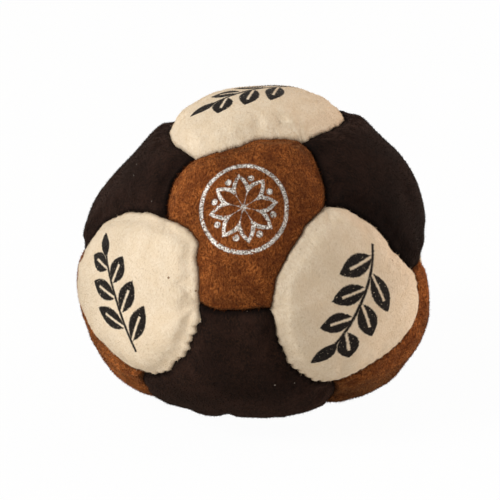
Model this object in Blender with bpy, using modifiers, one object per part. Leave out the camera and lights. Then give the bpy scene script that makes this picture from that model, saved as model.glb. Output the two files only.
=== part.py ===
"""A fourteen-panel stitched footbag, modelled as the pieces it is sewn from.

Six rounded cream panels sit at the faces of a cube and eight six-sided panels at its corners, four
brown and four black-brown by turns. Each panel is a piece of suede, draped on the bag, folded under
at its seams and turned in as a seam allowance. Threads lie between the allowances and hold the
panels together, and loose sand fills the bag. Metres, +Z up, seen from -Y in front.
"""

import math

import bmesh
import bpy
from mathutils import Matrix, Vector

MM = 0.001

# The bag
SEAM_RADIUS = 27.2 * MM
CROWN_RISE = 1.5 * MM
CROWN_REACH = 8.0 * MM
HEIGHT_SHARE = 0.91
BELLY_SHARE = 0.15
TURN = math.radians(38)
CORNER_ANGLE = math.radians(33.5)
REST_CUT = 0.5 * MM

# The suede and its seams
SUEDE_THICKNESS = 0.8 * MM
FOLD_INSIDE_RADIUS = 0.2 * MM
FOLD_RADIUS = SUEDE_THICKNESS + FOLD_INSIDE_RADIUS
ALLOWANCE_WIDTH = 2.0 * MM
THREAD_RADIUS = 0.15 * MM
THREAD_CLEARANCE = 0.1 * MM
SEAM_GAP = 2 * (THREAD_RADIUS + THREAD_CLEARANCE)
THREAD_END_GAP = SEAM_GAP + THREAD_CLEARANCE
FOLD_INSET = SEAM_GAP / 2 + FOLD_RADIUS

# The filling
FILL_CLEARANCE = 0.5 * MM
FILL_SHOULDER = 1.0 * MM
FILL_SHOULDER_DROP = 0.9 * MM

# Counts, shares and angles of the panels' meshes
CREAM_SEAM_STEPS = 6
DARK_SEAM_STEPS = 4
SKIN_SHARES = (0.0, 0.6, 0.84)
FOLD_ANGLES = (math.radians(60), math.radians(0))
PROBE_SHARE = 0.01
MERGE_DISTANCE = 0.01 * MM

# Cream panels: the way each one faces before the bag is turned, and its cream neighbours in order
CREAM_FACINGS = {
    "top": Vector((0, 0, 1)),
    "bottom": Vector((0, 0, -1)),
    "front_left": Vector((-1, 0, 0)),
    "front_right": Vector((0, -1, 0)),
    "back_right": Vector((1, 0, 0)),
    "back_left": Vector((0, 1, 0)),
}
CREAM_NEIGHBOURS = {
    "top": ("front_left", "front_right", "back_right", "back_left"),
    "bottom": ("back_left", "back_right", "front_right", "front_left"),
    "front_left": ("top", "back_left", "bottom", "front_right"),
    "front_right": ("top", "front_left", "bottom", "back_right"),
    "back_right": ("top", "front_right", "bottom", "back_left"),
    "back_left": ("top", "back_right", "bottom", "front_left"),
}

# Six-sided panels: the three cream panels round each one
DARK_PANELS = {
    "brown_panel_upper_front": ("top", "front_left", "front_right"),
    "brown_panel_upper_back": ("top", "back_right", "back_left"),
    "brown_panel_lower_left": ("bottom", "front_left", "back_left"),
    "brown_panel_lower_right": ("bottom", "back_right", "front_right"),
    "black_panel_upper_left": ("top", "back_left", "front_left"),
    "black_panel_upper_right": ("top", "front_right", "back_right"),
    "black_panel_lower_front": ("bottom", "front_right", "front_left"),
    "black_panel_lower_back": ("bottom", "back_left", "back_right"),
}

# How far the hand sewing shifts a corner of a cream panel, to the right and up, as shares of the
# radius. The key is the cream panel and the cream neighbour that the corner points at.
CORNER_SHIFT_SHARES = {
    ("top", "front_left"): (0.11, -0.05),
    ("top", "front_right"): (0.0, 0.07),
    ("top", "back_left"): (0.12, -0.06),
    ("top", "back_right"): (-0.04, -0.03),
    ("front_left", "top"): (0.20, -0.05),
    ("front_left", "front_right"): (-0.01, 0.04),
    ("front_left", "bottom"): (0.10, 0.0),
    ("front_right", "front_left"): (0.02, 0.02),
    ("front_right", "top"): (-0.08, 0.02),
    ("front_right", "back_right"): (-0.04, 0.02),
    ("front_right", "bottom"): (-0.12, -0.01),
}

# How far a cream seam bows out of the straight line between its corners, as a share of the radius.
# The key is the cream panel and the two neighbours that its corners point at.
CREAM_BOW_SHARE = 0.12
CREAM_BOW_SHARES = {
    ("top", "front_left", "front_right"): 0.02,
    ("top", "front_right", "back_right"): 0.14,
    ("front_left", "top", "back_left"): 0.15,
    ("front_right", "back_right", "top"): 0.04,
    ("front_right", "bottom", "back_right"): 0.15,
}

# How far a seam between two dark panels bows from the brown one towards the black-brown one
DARK_BOW_SHARE = 0.0
DARK_BOW_SHARES = {
    frozenset(("top", "front_left")): 0.05,
    frozenset(("top", "front_right")): 0.02,
    frozenset(("front_right", "back_right")): 0.02,
    frozenset(("front_left", "bottom")): -0.05,
}

# Where the filling swells or slumps: side (degrees right of the front), height (degrees), how far
# out as a share of the radius, and how wide in degrees
SLUMP_SHARES = (
    (0, 90, 0.05, 28),
    (0, -90, -0.065, 22),
    (-90, 40, -0.04, 28),
    (90, 40, 0.08, 28),
    (90, 10, -0.03, 28),
    (-90, -50, 0.03, 28),
    (90, -50, 0.03, 28),
)

# Linear colour and roughness of the panels, the thread and the sand
FINISHES = {
    "cream": ((0.80, 0.66, 0.46), 0.9),
    "brown": ((0.17, 0.045, 0.012), 0.9),
    "black": ((0.017, 0.009, 0.008), 0.9),
    "thread": ((0.03, 0.02, 0.017), 0.6),
    "sand": ((0.55, 0.42, 0.26), 0.95),
}


def direction_at(side, height):
    """The way from the bag's middle that is so many degrees right of the front and so many up."""
    turn = math.radians(side)
    rise = math.radians(height)
    return Vector((math.sin(turn) * math.cos(rise), -math.cos(turn) * math.cos(rise), math.sin(rise)))


SLUMPS = [(direction_at(side, height), share, math.radians(spread))
          for side, height, share, spread in SLUMP_SHARES]


def on_bag(direction, lift=0.0):
    """The point of the bag at seam level that lies in one direction, lifted along it."""
    swell = 1 + sum(share * math.exp(-(direction.angle(middle) / spread) ** 2)
                    for middle, share, spread in SLUMPS)
    waist = 1 - BELLY_SHARE * direction.z
    reach = Vector((waist * direction.x, waist * direction.y, HEIGHT_SHARE * direction.z))
    return SEAM_RADIUS * swell * reach + lift * direction


def facing(cream):
    """The way a cream panel faces once the bag is turned."""
    return Matrix.Rotation(TURN, 3, "Z") @ CREAM_FACINGS[cream]


def corner(cream, neighbour):
    """The direction of the corner of a cream panel that points at one of its neighbours."""
    direction = math.cos(CORNER_ANGLE) * facing(cream) + math.sin(CORNER_ANGLE) * facing(neighbour)
    right_share, up_share = CORNER_SHIFT_SHARES.get((cream, neighbour), (0.0, 0.0))
    right = Vector((-direction.y, direction.x, 0)).normalized()
    up = direction.cross(right)
    return (direction + right_share * right + up_share * up).normalized()


def bowed_seam(start, end, away_from, bow_share, steps):
    """Directions along a seam from one corner to the next, bowed away from a panel's middle."""
    middle = (start + end).normalized()
    side = middle - away_from
    side = (side - side.project(middle)).normalized()
    seam = []
    for step in range(steps + 1):
        along = step / steps
        bow = 4 * bow_share * along * (1 - along)
        seam.append((start.slerp(end, along) + bow * side).normalized())
    return seam


def cream_seam(cream, first, second):
    """The seam of a cream panel between the corners that point at two of its neighbours."""
    middle = sum((corner(cream, other) for other in CREAM_NEIGHBOURS[cream]), Vector()).normalized()
    share = CREAM_BOW_SHARES.get((cream, first, second))
    if share is None:
        share = CREAM_BOW_SHARES.get((cream, second, first), CREAM_BOW_SHARE)
    return bowed_seam(corner(cream, first), corner(cream, second), middle, share, CREAM_SEAM_STEPS)


def dark_seam(first, second):
    """The seam between a brown and a black-brown panel, from one cream panel to another."""
    brown = next(creams for name, creams in DARK_PANELS.items()
                 if name.startswith("brown") and first in creams and second in creams)
    middle = sum((facing(cream) for cream in brown), Vector()).normalized()
    share = DARK_BOW_SHARES.get(frozenset((first, second)), DARK_BOW_SHARE)
    return bowed_seam(corner(first, second), corner(second, first), middle, share, DARK_SEAM_STEPS)


def cream_outline(cream):
    """Directions round a cream panel, counterclockwise from outside."""
    ring = CREAM_NEIGHBOURS[cream]
    outline = []
    for first, second in zip(ring, ring[1:] + ring[:1]):
        outline += cream_seam(cream, first, second)[:-1]
    return outline


def dark_outline(name):
    """Directions round a six-sided panel, counterclockwise from outside."""
    first, second, third = DARK_PANELS[name]
    outline = []
    for cream, after, before in ((first, second, third), (second, third, first), (third, first, second)):
        outline += cream_seam(cream, before, after)[:-1]
        outline += dark_seam(cream, after)[:-1]
    return outline


def outlines():
    """The outline of every panel, by the panel's name."""
    every = {"cream_panel_" + cream: cream_outline(cream) for cream in CREAM_FACINGS}
    every.update({name: dark_outline(name) for name in DARK_PANELS})
    return every


def gap_to_edge(place, start, end):
    """How far a place is from the straight line between two points."""
    edge = end - start
    along = max(0.0, min(1.0, (place - start).dot(edge) / edge.length_squared))
    return (place - start.lerp(end, along)).length


class Seam:
    """The middle line of the seams round one panel, and the way into the panel at each station."""

    def __init__(self, outline):
        self.directions = outline
        self.points = [on_bag(direction) for direction in outline]
        self.middle = sum(outline, Vector()).normalized()
        self.inward = []
        sides = []
        for here, after, direction in zip(self.points, self.points[1:] + self.points[:1], outline):
            sides.append(direction.cross(after - here).normalized())
        for before, after in zip(sides[-1:] + sides[:-1], sides):
            self.inward.append((before + after) / (1 + before.dot(after)))

    def edge_ring(self, inset, height):
        """The points so far inside the seam's middle line and so high over seam level."""
        return [point + inset * inward + height * direction
                for point, inward, direction in zip(self.points, self.inward, self.directions)]

    def inset_direction(self, station, inset):
        """The direction of the place on the bag that lies so far inside the seam at one station."""
        direction = self.directions[station]
        probe = (direction + PROBE_SHARE * self.inward[station]).normalized()
        stretch = (on_bag(probe) - self.points[station]).length / PROBE_SHARE
        return (direction + inset / stretch * self.inward[station]).normalized()

    def skin_ring(self, share, inset, drop):
        """The points at a share of the way out to a line inside the seam, so far under the skin."""
        ring = []
        for station in range(len(self.points)):
            direction = self.middle.slerp(self.inset_direction(station, inset), share)
            ring.append(on_bag(direction, self.crown(on_bag(direction)) - drop))
        return ring

    def crown(self, place):
        """How far the panel stands out over seam level at one place, by its way from the seam."""
        ends = self.points[1:] + self.points[:1]
        nearest = min(gap_to_edge(place, start, end) for start, end in zip(self.points, ends))
        in_from_fold = (nearest - FOLD_INSET) / CROWN_REACH
        left = 1 - max(0.0, min(1.0, in_from_fold))
        return CROWN_RISE * math.sqrt(1 - left ** 3)


def panel_rings(outline):
    """The rings of a panel: its skin, the fold at the seam and the turned-in allowance."""
    seam = Seam(outline)
    rings = [seam.skin_ring(share, FOLD_INSET, 0.0) for share in SKIN_SHARES]
    for angle in FOLD_ANGLES:
        inset = FOLD_INSET - FOLD_RADIUS * math.cos(angle)
        rings.append(seam.edge_ring(inset, FOLD_RADIUS * (math.sin(angle) - 1)))
    rings.append(seam.edge_ring(SEAM_GAP / 2, -FOLD_RADIUS - ALLOWANCE_WIDTH))
    return rings


def fill_rings(outline):
    """The rings of the filling under one panel, with a trench for the allowances at its seams."""
    seam = Seam(outline)
    wall = SEAM_GAP / 2 + SUEDE_THICKNESS + FILL_CLEARANCE
    depth = FOLD_RADIUS + ALLOWANCE_WIDTH + FILL_CLEARANCE
    under = SUEDE_THICKNESS + FILL_CLEARANCE
    shoulder_inset = wall + FILL_SHOULDER
    rings = [seam.skin_ring(share, FOLD_INSET, under) for share in SKIN_SHARES[:-1]]
    rings.append(seam.skin_ring(1.0, shoulder_inset, under + FILL_SHOULDER_DROP))
    rings.append(seam.edge_ring(wall, -depth))
    rings.append(seam.edge_ring(0.0, -depth))
    return rings


def round_blank(ring_count, station_count):
    """A flat round blank of rings one unit apart, spun from a line."""
    blank = bmesh.new()
    line = [blank.verts.new((ring, 0, 0)) for ring in range(ring_count)]
    edges = [blank.edges.new(pair) for pair in zip(line, line[1:])]
    bmesh.ops.spin(blank, geom=line + edges, cent=(0, 0, 0), axis=(0, 0, 1),
                   angle=math.tau, steps=station_count, use_merge=True)
    bmesh.ops.remove_doubles(blank, verts=blank.verts, dist=MERGE_DISTANCE)
    return blank


def drape(blank, rings, floor, shift):
    """Lay a round blank on the bag ring by ring, and press it flat where the bag stands."""
    station_count = len(rings[0])
    for vertex in blank.verts:
        ring = round(vertex.co.length)
        station = round(math.atan2(vertex.co.y, vertex.co.x) / math.tau * station_count) % station_count
        point = rings[ring][station].copy()
        point.z = max(point.z, floor)
        vertex.co = point + shift
    blank.normal_update()
    outward = sum(face.normal.dot(face.calc_center_median() - shift) for face in blank.faces)
    if outward < 0:
        bmesh.ops.reverse_faces(blank, faces=blank.faces)
    return blank


def material(name):
    """One plain material from the table of finishes."""
    colour, roughness = FINISHES[name]
    made = bpy.data.materials.new(name)
    made.use_nodes = True
    shader = made.node_tree.nodes["Principled BSDF"]
    shader.inputs["Base Color"].default_value = (*colour, 1)
    shader.inputs["Roughness"].default_value = roughness
    shader.inputs["Metallic"].default_value = 0.0
    return made


def add_object(name, data, finish, collection):
    """A named object with its own material, in the footbag's collection."""
    made = bpy.data.objects.new(name, data)
    data.materials.append(finish)
    collection.objects.link(made)
    return made


def add_panel(name, rings, floor, shift, finish, collection):
    """One suede panel: a draped skin, thickened inwards."""
    blank = drape(round_blank(len(rings), len(rings[0])), rings, floor, shift)
    mesh = bpy.data.meshes.new(name)
    blank.to_mesh(mesh)
    blank.free()
    mesh.shade_smooth()
    panel = add_object(name, mesh, finish, collection)
    suede = panel.modifiers.new("suede", "SOLIDIFY")
    suede.thickness = SUEDE_THICKNESS
    suede.offset = -1
    suede.use_even_offset = True
    return panel


def add_fill(every_outline, floor, shift, finish, collection):
    """The sand: a patch under each panel, welded along the seams into one closed body."""
    fill = bmesh.new()
    mesh = bpy.data.meshes.new("sand_fill")
    for outline in every_outline.values():
        rings = fill_rings(outline)
        patch = drape(round_blank(len(rings), len(outline)), rings, floor, shift)
        patch.to_mesh(mesh)
        patch.free()
        fill.from_mesh(mesh)
    bmesh.ops.remove_doubles(fill, verts=fill.verts, dist=MERGE_DISTANCE)
    fill.to_mesh(mesh)
    fill.free()
    mesh.shade_smooth()
    return add_object("sand_fill", mesh, finish, collection)


def add_thread(name, points, closed, finish, collection):
    """One run of seam thread, as a tube along its points."""
    curve = bpy.data.curves.new(name, "CURVE")
    curve.dimensions = "3D"
    curve.bevel_depth = THREAD_RADIUS
    curve.bevel_resolution = 0
    curve.use_fill_caps = not closed
    spline = curve.splines.new("POLY")
    spline.points.add(len(points) - 1)
    spline.use_cyclic_u = closed
    for spot, point in zip(spline.points, points):
        spot.co = (*point, 1)
    return add_object(name, curve, finish, collection)


def thread_points(directions, shift):
    """The line of a thread, halfway down between the allowances."""
    depth = FOLD_RADIUS + ALLOWANCE_WIDTH / 2
    return [on_bag(direction, -depth) + shift for direction in directions]


def shortened(points, gap):
    """A line of points with both ends drawn in by a gap."""
    first = points[0] + gap * (points[1] - points[0]).normalized()
    last = points[-1] + gap * (points[-2] - points[-1]).normalized()
    return [first] + points[1:-1] + [last]


def add_threads(shift, finish, collection):
    """A loop of thread round each cream panel and a run along each seam between dark panels."""
    for cream in CREAM_FACINGS:
        loop = thread_points(cream_outline(cream), shift)
        add_thread("thread_round_" + cream, loop, True, finish, collection)
    done = set()
    for cream, neighbours in CREAM_NEIGHBOURS.items():
        for neighbour in neighbours:
            pair = frozenset((cream, neighbour))
            if pair in done:
                continue
            done.add(pair)
            run = shortened(thread_points(dark_seam(cream, neighbour), shift), THREAD_END_GAP)
            add_thread("thread_" + cream + "_to_" + neighbour, run, False, finish, collection)


def main():
    """Clear the scene and sew the footbag."""
    for old in list(bpy.data.objects):
        bpy.data.objects.remove(old, do_unlink=True)
    collection = bpy.data.collections.new("footbag")
    bpy.context.scene.collection.children.link(collection)

    every_outline = outlines()
    every_panel = {name: panel_rings(outline) for name, outline in every_outline.items()}
    points = [point for rings in every_panel.values() for ring in rings for point in ring]
    floor = min(point.z for point in points) + REST_CUT
    middle_x = (min(point.x for point in points) + max(point.x for point in points)) / 2
    middle_y = (min(point.y for point in points) + max(point.y for point in points)) / 2
    shift = Vector((-middle_x, -middle_y, -floor))

    finishes = {name: material(name) for name in FINISHES}
    for name, rings in every_panel.items():
        add_panel(name, rings, floor, shift, finishes[name.split("_")[0]], collection)
    add_threads(shift, finishes["thread"], collection)
    fill_floor = floor + SUEDE_THICKNESS + FILL_CLEARANCE
    add_fill(every_outline, fill_floor, shift, finishes["sand"], collection)


main()
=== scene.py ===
# %% [markdown]
# A sewn suede footbag
#
# The object is a small round bag for kicking about, about 57 mm across. Fourteen pieces of suede are
# sewn together inside out, turned, filled with loose sand and closed. The sizes come from a packed
# CAD model, which is loaded first and never moved. Everything here is built round it, in metres.

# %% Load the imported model
import math
from functools import partial

import bmesh
import bpy
import numpy as np
from mathutils import Matrix, Vector, noise
from mathutils.kdtree import KDTree


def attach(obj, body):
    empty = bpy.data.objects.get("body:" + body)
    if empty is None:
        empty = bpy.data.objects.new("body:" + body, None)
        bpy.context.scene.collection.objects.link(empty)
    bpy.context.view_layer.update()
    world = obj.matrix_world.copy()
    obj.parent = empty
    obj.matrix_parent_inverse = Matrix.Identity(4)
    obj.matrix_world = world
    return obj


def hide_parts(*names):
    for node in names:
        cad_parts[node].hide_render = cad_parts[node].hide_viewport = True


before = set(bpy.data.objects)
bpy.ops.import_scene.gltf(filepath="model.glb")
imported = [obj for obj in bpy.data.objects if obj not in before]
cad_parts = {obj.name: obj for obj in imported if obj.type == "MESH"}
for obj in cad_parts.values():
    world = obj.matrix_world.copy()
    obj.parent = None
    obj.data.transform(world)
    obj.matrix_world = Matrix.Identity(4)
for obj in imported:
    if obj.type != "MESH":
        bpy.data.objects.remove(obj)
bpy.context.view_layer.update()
MM = 0.001

# %% [markdown]
# The camera
#
# A product photographer stands well back with a long lens, so a small thing looks calm and
# undistorted. This camera looks down by 20 degrees from 616 mm away, through a 279 mm lens. It could
# be turned by hand until the picture fits, but three numbers are easier to correct later.

# %% Camera
CAMERA_DROP = math.radians(20)
CAMERA_DISTANCE = 616 * MM
CAMERA_LENS = 279.0
AIM_POINT = Vector((-0.64, 0.16, 24.77)) * MM


def linked(name, data):
    """An object that shows this data, put into the scene."""
    made = bpy.data.objects.new(name, data)
    bpy.context.scene.collection.objects.link(made)
    return made


camera = linked("camera", bpy.data.cameras.new("camera"))
away = Vector((0, -math.cos(CAMERA_DROP), math.sin(CAMERA_DROP)))
camera.location = AIM_POINT + CAMERA_DISTANCE * away
camera.rotation_euler = (-away).to_track_quat("-Z", "Y").to_euler()
camera.data.lens = CAMERA_LENS
camera.data.sensor_width = 36.0
camera.data.clip_start = 0.01
camera.data.clip_end = 10.0
bpy.context.scene.camera = camera
bpy.context.scene.view_settings.view_transform = "Standard"
print("camera at", [round(value, 3) for value in camera.location])

# %% [markdown]
# The shape of the bag
#
# Six rounded cream panels sit where a cube has its faces, and eight six-sided panels, four brown and
# four black-brown, where it has its corners. A modeller could push a ball about by eye. Here the
# bag follows the same rule as the CAD model, so that each suede panel ends up on its own CAD solid:
# a place is a direction from the bag's middle, and one function says how far out the bag reaches
# there. Hand sewing is never even, so each corner has a small shift and each seam its own bow.

# %% Sizes of the bag and the unevenness of its sewing
SEAM_RADIUS = 27.2 * MM
HEIGHT_SHARE = 0.91
BELLY_SHARE = 0.15
TURN = math.radians(38)
CORNER_ANGLE = math.radians(33.5)

CREAM_FACINGS = {
    "top": (0, 0, 1),
    "bottom": (0, 0, -1),
    "front_left": (-1, 0, 0),
    "front_right": (0, -1, 0),
    "back_right": (1, 0, 0),
    "back_left": (0, 1, 0),
}
CREAM_NEIGHBOURS = {
    "top": ("front_left", "front_right", "back_right", "back_left"),
    "bottom": ("back_left", "back_right", "front_right", "front_left"),
    "front_left": ("top", "back_left", "bottom", "front_right"),
    "front_right": ("top", "front_left", "bottom", "back_right"),
    "back_right": ("top", "front_right", "bottom", "back_left"),
    "back_left": ("top", "back_right", "bottom", "front_left"),
}
DARK_PANELS = {
    "brown_panel_upper_front": ("top", "front_left", "front_right"),
    "brown_panel_upper_back": ("top", "back_right", "back_left"),
    "brown_panel_lower_left": ("bottom", "front_left", "back_left"),
    "brown_panel_lower_right": ("bottom", "back_right", "front_right"),
    "black_panel_upper_left": ("top", "back_left", "front_left"),
    "black_panel_upper_right": ("top", "front_right", "back_right"),
    "black_panel_lower_front": ("bottom", "front_right", "front_left"),
    "black_panel_lower_back": ("bottom", "back_left", "back_right"),
}
CORNER_SHIFT_SHARES = {
    ("top", "front_left"): (0.11, -0.05),
    ("top", "front_right"): (0.0, 0.07),
    ("top", "back_left"): (0.12, -0.06),
    ("top", "back_right"): (-0.04, -0.03),
    ("front_left", "top"): (0.20, -0.07),
    ("front_left", "front_right"): (-0.01, 0.04),
    ("front_left", "bottom"): (0.10, 0.0),
    ("front_right", "front_left"): (0.02, 0.02),
    ("front_right", "top"): (-0.08, 0.02),
    ("front_right", "back_right"): (-0.04, 0.02),
    ("front_right", "bottom"): (-0.12, -0.01),
    ("bottom", "front_right"): (0.025, -0.08),
    ("bottom", "front_left"): (0.0, -0.05),
    ("bottom", "back_left"): (0.0, -0.05),
    ("bottom", "back_right"): (0.0, -0.05),
}
CREAM_BOW_SHARE = 0.12
CREAM_BOW_SHARES = {
    ("top", "front_left", "front_right"): 0.02,
    ("top", "front_right", "back_right"): 0.14,
    ("front_left", "top", "back_left"): 0.15,
    ("front_left", "top", "front_right"): 0.12,
    ("front_left", "back_left", "bottom"): 0.182,
    ("front_right", "back_right", "top"): 0.014,
    ("front_right", "bottom", "back_right"): 0.16,
    ("front_right", "top", "front_left"): 0.09,
    ("front_right", "front_left", "bottom"): 0.10,
}
DARK_BOW_SHARES = {
    frozenset(("top", "front_left")): 0.055,
    frozenset(("top", "front_right")): 0.035,
    frozenset(("front_right", "back_right")): 0.02,
    frozenset(("front_left", "bottom")): -0.075,
    frozenset(("front_right", "bottom")): -0.045,
    frozenset(("front_left", "front_right")): 0.016,
}
# Some seams also swing like a flat S: out near the first neighbour named, in near the second.
CREAM_SWING_SHARES = {
    ("top", "front_left", "front_right"): 0.023,
    ("front_left", "top", "front_right"): 0.02,
    ("front_left", "back_left", "bottom"): 0.045,
    ("front_right", "top", "front_left"): -0.012,
    ("front_right", "top", "back_right"): 0.038,
    ("front_right", "back_right", "bottom"): 0.06,
}
DARK_SWING_SHARES = {("front_left", "front_right"): 0.012}
# Two seams are drawn out in one place: how far, how far along from the first neighbour, how wide
CREAM_PEAK_SHARES = {
    ("front_left", "top", "front_right"): (0.04, 0.40, 0.13),
    ("front_left", "front_right", "bottom"): (0.06, 0.08, 0.035),
}
SLUMP_SHARES = (
    (0, 90, 0.05, 28),
    (0, -90, -0.065, 22),
    (-90, 40, -0.04, 28),
    (90, 40, 0.08, 28),
    (90, 10, -0.03, 28),
    (-90, -50, 0.03, 28),
    (90, -50, 0.03, 28),
)

# Smaller humps and hollows that the hand leaves when it sets the bag down
HAND_SHARES = (
    (91, 24, 0.024, 14), (100, 41, -0.012, 6), (108, 49, 0.015, 6), (122, 70, 0.012, 8),
    (187, 78, -0.018, 9), (-120, 45, 0.011, 6), (-108, 35, -0.015, 8), (-100, 17, 0.011, 7),
    (-81, -27, -0.013, 16), (92, -6, -0.058, 11), (88, -7, -0.014, 4), (43, -44, -0.022, 9),
    (-50, -50, -0.014, 10), (56, -55, -0.028, 11), (92, -10, -0.016, 5), (90, 4, -0.010, 5),
    (110, 41, -0.012, 5), (120, 55, 0.028, 6), (-74, -37, -0.005, 7), (22, -55, -0.014, 5),
    (32, -55, -0.015, 6), (44, -55, 0.012, 4), (55, -49, 0.016, 5), (79, -2, -0.020, 4),
    (84, 10, -0.012, 5), (-22, -54, 0.013, 4), (-93, -8, -0.010, 4), (68, -46, 0.010, 6),
    (-38, -65, 0.012, 6),
)


# %% From directions to places on the bag
def unit(rows):
    """Each row of numbers, made one long."""
    return rows / np.linalg.norm(rows, axis=-1, keepdims=True)


def direction_at(side, height):
    """The way that is so many degrees right of the front and so many up."""
    turn = math.radians(side)
    rise = math.radians(height)
    return np.array((math.sin(turn) * math.cos(rise), -math.cos(turn) * math.cos(rise), math.sin(rise)))


SLUMPS = [(direction_at(side, height), share, math.radians(spread))
          for side, height, share, spread in SLUMP_SHARES + HAND_SHARES]


def on_bag(ways, lift=0.0):
    """The places at seam level in many directions, each lifted along its own direction."""
    swell = np.ones(ways.shape[:-1])
    for middle, share, spread in SLUMPS:
        off = np.arccos(np.clip(ways @ middle, -1, 1))
        swell += share * np.exp(-(off / spread) ** 2)
    waist = 1 - BELLY_SHARE * ways[..., 2]
    reach = np.stack([waist * ways[..., 0], waist * ways[..., 1], HEIGHT_SHARE * ways[..., 2]], axis=-1)
    return SEAM_RADIUS * swell[..., None] * reach + np.asarray(lift)[..., None] * ways


def facing(cream):
    """The way a cream panel faces once the bag is turned."""
    return np.array(Matrix.Rotation(TURN, 3, "Z") @ Vector(CREAM_FACINGS[cream]))


def corner(cream, neighbour):
    """The direction of the corner of a cream panel that points at one of its neighbours."""
    way = math.cos(CORNER_ANGLE) * facing(cream) + math.sin(CORNER_ANGLE) * facing(neighbour)
    right_share, up_share = CORNER_SHIFT_SHARES.get((cream, neighbour), (0.0, 0.0))
    right = unit(np.array((-way[1], way[0], 0)))
    up = np.cross(way, right)
    return unit(way + right_share * right + up_share * up)


def between(start, end, shares):
    """Directions at shares of the way from one direction to another."""
    angle = np.arccos(np.clip((start * end).sum(-1, keepdims=True), -1, 1))
    return unit(np.sin((1 - shares) * angle) * start + np.sin(shares * angle) * end)


print("bag is", round(2 * SEAM_RADIUS / MM, 1), "mm across at seam level")

# %% [markdown]
# The seams
#
# A seam is a line on the bag. It could be drawn as a curve object, but a list of directions is
# enough: both panels that meet in a seam read the same list, so their edges match point by point.
# The points are about 0.2 mm apart, close enough to show the small gathers that each stitch pulls.

# %% Lines of the seams
CREAM_SEAM_STEPS = 100
DARK_SEAM_STEPS = 36
SEAM_WANDER = 0.5 * MM
WANDER_TURNS = (8.0, 19.0)  # slow and quick waves, counted over one radius of the bag


def wander(ways):
    """How far a hand-sewn seam strays sideways at each of its points."""
    coarse, fine = WANDER_TURNS
    return np.array([noise.noise(Vector(way) * coarse) + 0.5 * noise.noise(Vector(way) * fine)
                     for way in ways])


def bowed_seam(start, end, away_from, bow_share, steps, swing_share=0.0, peak=(0.0, 0.5, 1.0)):
    """Directions along a seam, bowed away from a panel's middle."""
    middle = unit(start + end)
    side = middle - away_from
    side = unit(side - (side @ middle) * middle)
    along = np.linspace(0, 1, steps + 1)[:, None]
    even = between(start, end, along)
    arch = 4 * along * (1 - along)
    stray = SEAM_WANDER / SEAM_RADIUS * wander(even)[:, None]
    swing = swing_share * np.sin(math.tau * along)
    height, place, width = peak
    stray += height * np.exp(-((along - place) / width) ** 2)
    return unit(even + (bow_share * arch + swing + stray * np.sqrt(arch)) * side)


def cream_seam(cream, first, second):
    """The seam of a cream panel between the corners that point at two of its neighbours."""
    middle = unit(sum(corner(cream, other) for other in CREAM_NEIGHBOURS[cream]))
    share = CREAM_BOW_SHARES.get((cream, first, second))
    if share is None:
        share = CREAM_BOW_SHARES.get((cream, second, first), CREAM_BOW_SHARE)
    swing = CREAM_SWING_SHARES.get((cream, first, second), 0.0)
    swing -= CREAM_SWING_SHARES.get((cream, second, first), 0.0)
    height, place, width = CREAM_PEAK_SHARES.get((cream, second, first), (0.0, 0.5, 1.0))
    peak = CREAM_PEAK_SHARES.get((cream, first, second), (height, 1 - place, width))
    return bowed_seam(corner(cream, first), corner(cream, second), middle, share, CREAM_SEAM_STEPS,
                      swing, peak)


def dark_seam(first, second):
    """The seam between a brown and a black-brown panel, from one cream panel to another."""
    brown = next(creams for name, creams in DARK_PANELS.items()
                 if name.startswith("brown") and first in creams and second in creams)
    middle = unit(sum(facing(cream) for cream in brown))
    share = DARK_BOW_SHARES.get(frozenset((first, second)), 0.0)
    swing = DARK_SWING_SHARES.get((first, second), 0.0) - DARK_SWING_SHARES.get((second, first), 0.0)
    return bowed_seam(corner(first, second), corner(second, first), middle, share, DARK_SEAM_STEPS,
                      swing)


def cream_sides(cream):
    """The four seams round a cream panel, counterclockwise from outside."""
    ring = CREAM_NEIGHBOURS[cream]
    return [cream_seam(cream, first, second) for first, second in zip(ring, ring[1:] + ring[:1])]


def dark_sides(name):
    """The six seams round a six-sided panel, counterclockwise from outside."""
    first, second, third = DARK_PANELS[name]
    sides = []
    for cream, after, before in ((first, second, third), (second, third, first), (third, first, second)):
        sides.append(cream_seam(cream, before, after))
        sides.append(dark_seam(cream, after))
    return sides


panel_sides = {"cream_panel_" + cream: cream_sides(cream) for cream in CREAM_FACINGS}
panel_sides.update({name: dark_sides(name) for name in DARK_PANELS})
print("panels:", len(panel_sides), "with", sum(len(sides) for sides in panel_sides.values()), "sides")

# %% [markdown]
# The profile of a panel
#
# Each panel is tucked down at its seams and stands proud in its middle, because the sand pushes it
# out. The tuck is tight, under a millimetre across, and the crown above it is broad and soft. Two
# curves added together say this better than one: a small quarter round for the fold, and a slow
# rise that has run out about 8 mm inside the seam. The distance to a seam is blended over all the
# sides, or a sharp hip would run from every corner to the middle.

# %% Height of the suede over seam level
SUEDE_THICKNESS = 0.8 * MM
SEAM_SPACE = 0.03 * MM
DARK_SEAM_SPACE = 0.24 * MM
FOLD_WIDTH = 0.75 * MM
FOLD_DEPTH = 0.65 * MM
CROWN_RISE = 0.5 * MM
CROWN_REACH = 8.0 * MM


def way_to_line(places, line):
    """How far each place is from the nearest point of a line of points."""
    flat = places.reshape(-1, 3)
    starts = line[:-1]
    runs = line[1:] - starts
    nearest = np.full(len(flat), 1.0)
    for start, run in zip(starts, runs):
        along = np.clip((flat - start) @ run / (run @ run), 0, 1)
        gap = np.linalg.norm(flat - start - along[:, None] * run, axis=1)
        nearest = np.minimum(nearest, gap)
    return nearest.reshape(places.shape[:-1])


def way_to_seams(places, sides):
    """The distance to the seams round a panel, blended so that no hip shows between two of them."""
    total = np.zeros(places.shape[:-1])
    for side in sides:
        gap = np.maximum(way_to_line(places, on_bag(side[::4])), 0.001 * MM)
        total += gap ** -4.0
    return total ** -0.25


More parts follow.
